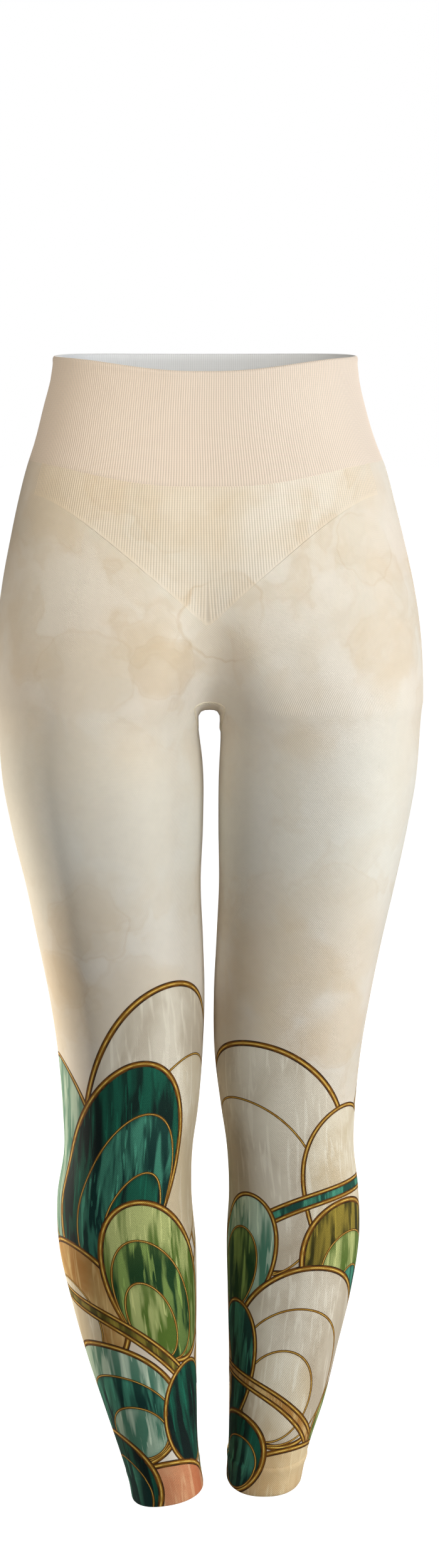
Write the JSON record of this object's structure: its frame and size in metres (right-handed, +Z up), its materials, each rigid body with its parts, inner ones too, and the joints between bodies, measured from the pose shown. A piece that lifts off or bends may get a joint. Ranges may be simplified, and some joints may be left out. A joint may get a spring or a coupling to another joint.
{
  "type": "leggings",
  "caption": "High-waisted seamless leggings, filled out as if worn, with a wide ribbed waistband, a V-shaped ribbed front yoke, a gusset and turned ankle cuffs.",
  "frame": {"origin": "middle of the waist opening, level with the rim at the sides and back", "axes": "+Z up along the wearer's body, -Y to the front, +X to the wearer's left"},
  "size_m": [0.3658, 0.2355, 1],
  "materials": {
    "waistband_rib": "matt fine vertical rib, sand",
    "yoke_rib": "matt fine vertical rib, cream",
    "printed_knit": "smooth fine knit, cream clouds above and a leaded-glass print below the knees",
    "gusset_knit": "smooth fine knit, cream",
    "cuff_knit": "smooth fine knit, turned up and stitched"
  },
  "bodies": {
    "root": {"waistband": "waistband_rib", "front_yoke": "yoke_rib", "hips": "printed_knit", "leg_left": "printed_knit", "leg_right": "printed_knit", "gusset": "gusset_knit", "cuff_left": "cuff_knit", "cuff_right": "cuff_knit"}
  },
  "joints": []
}
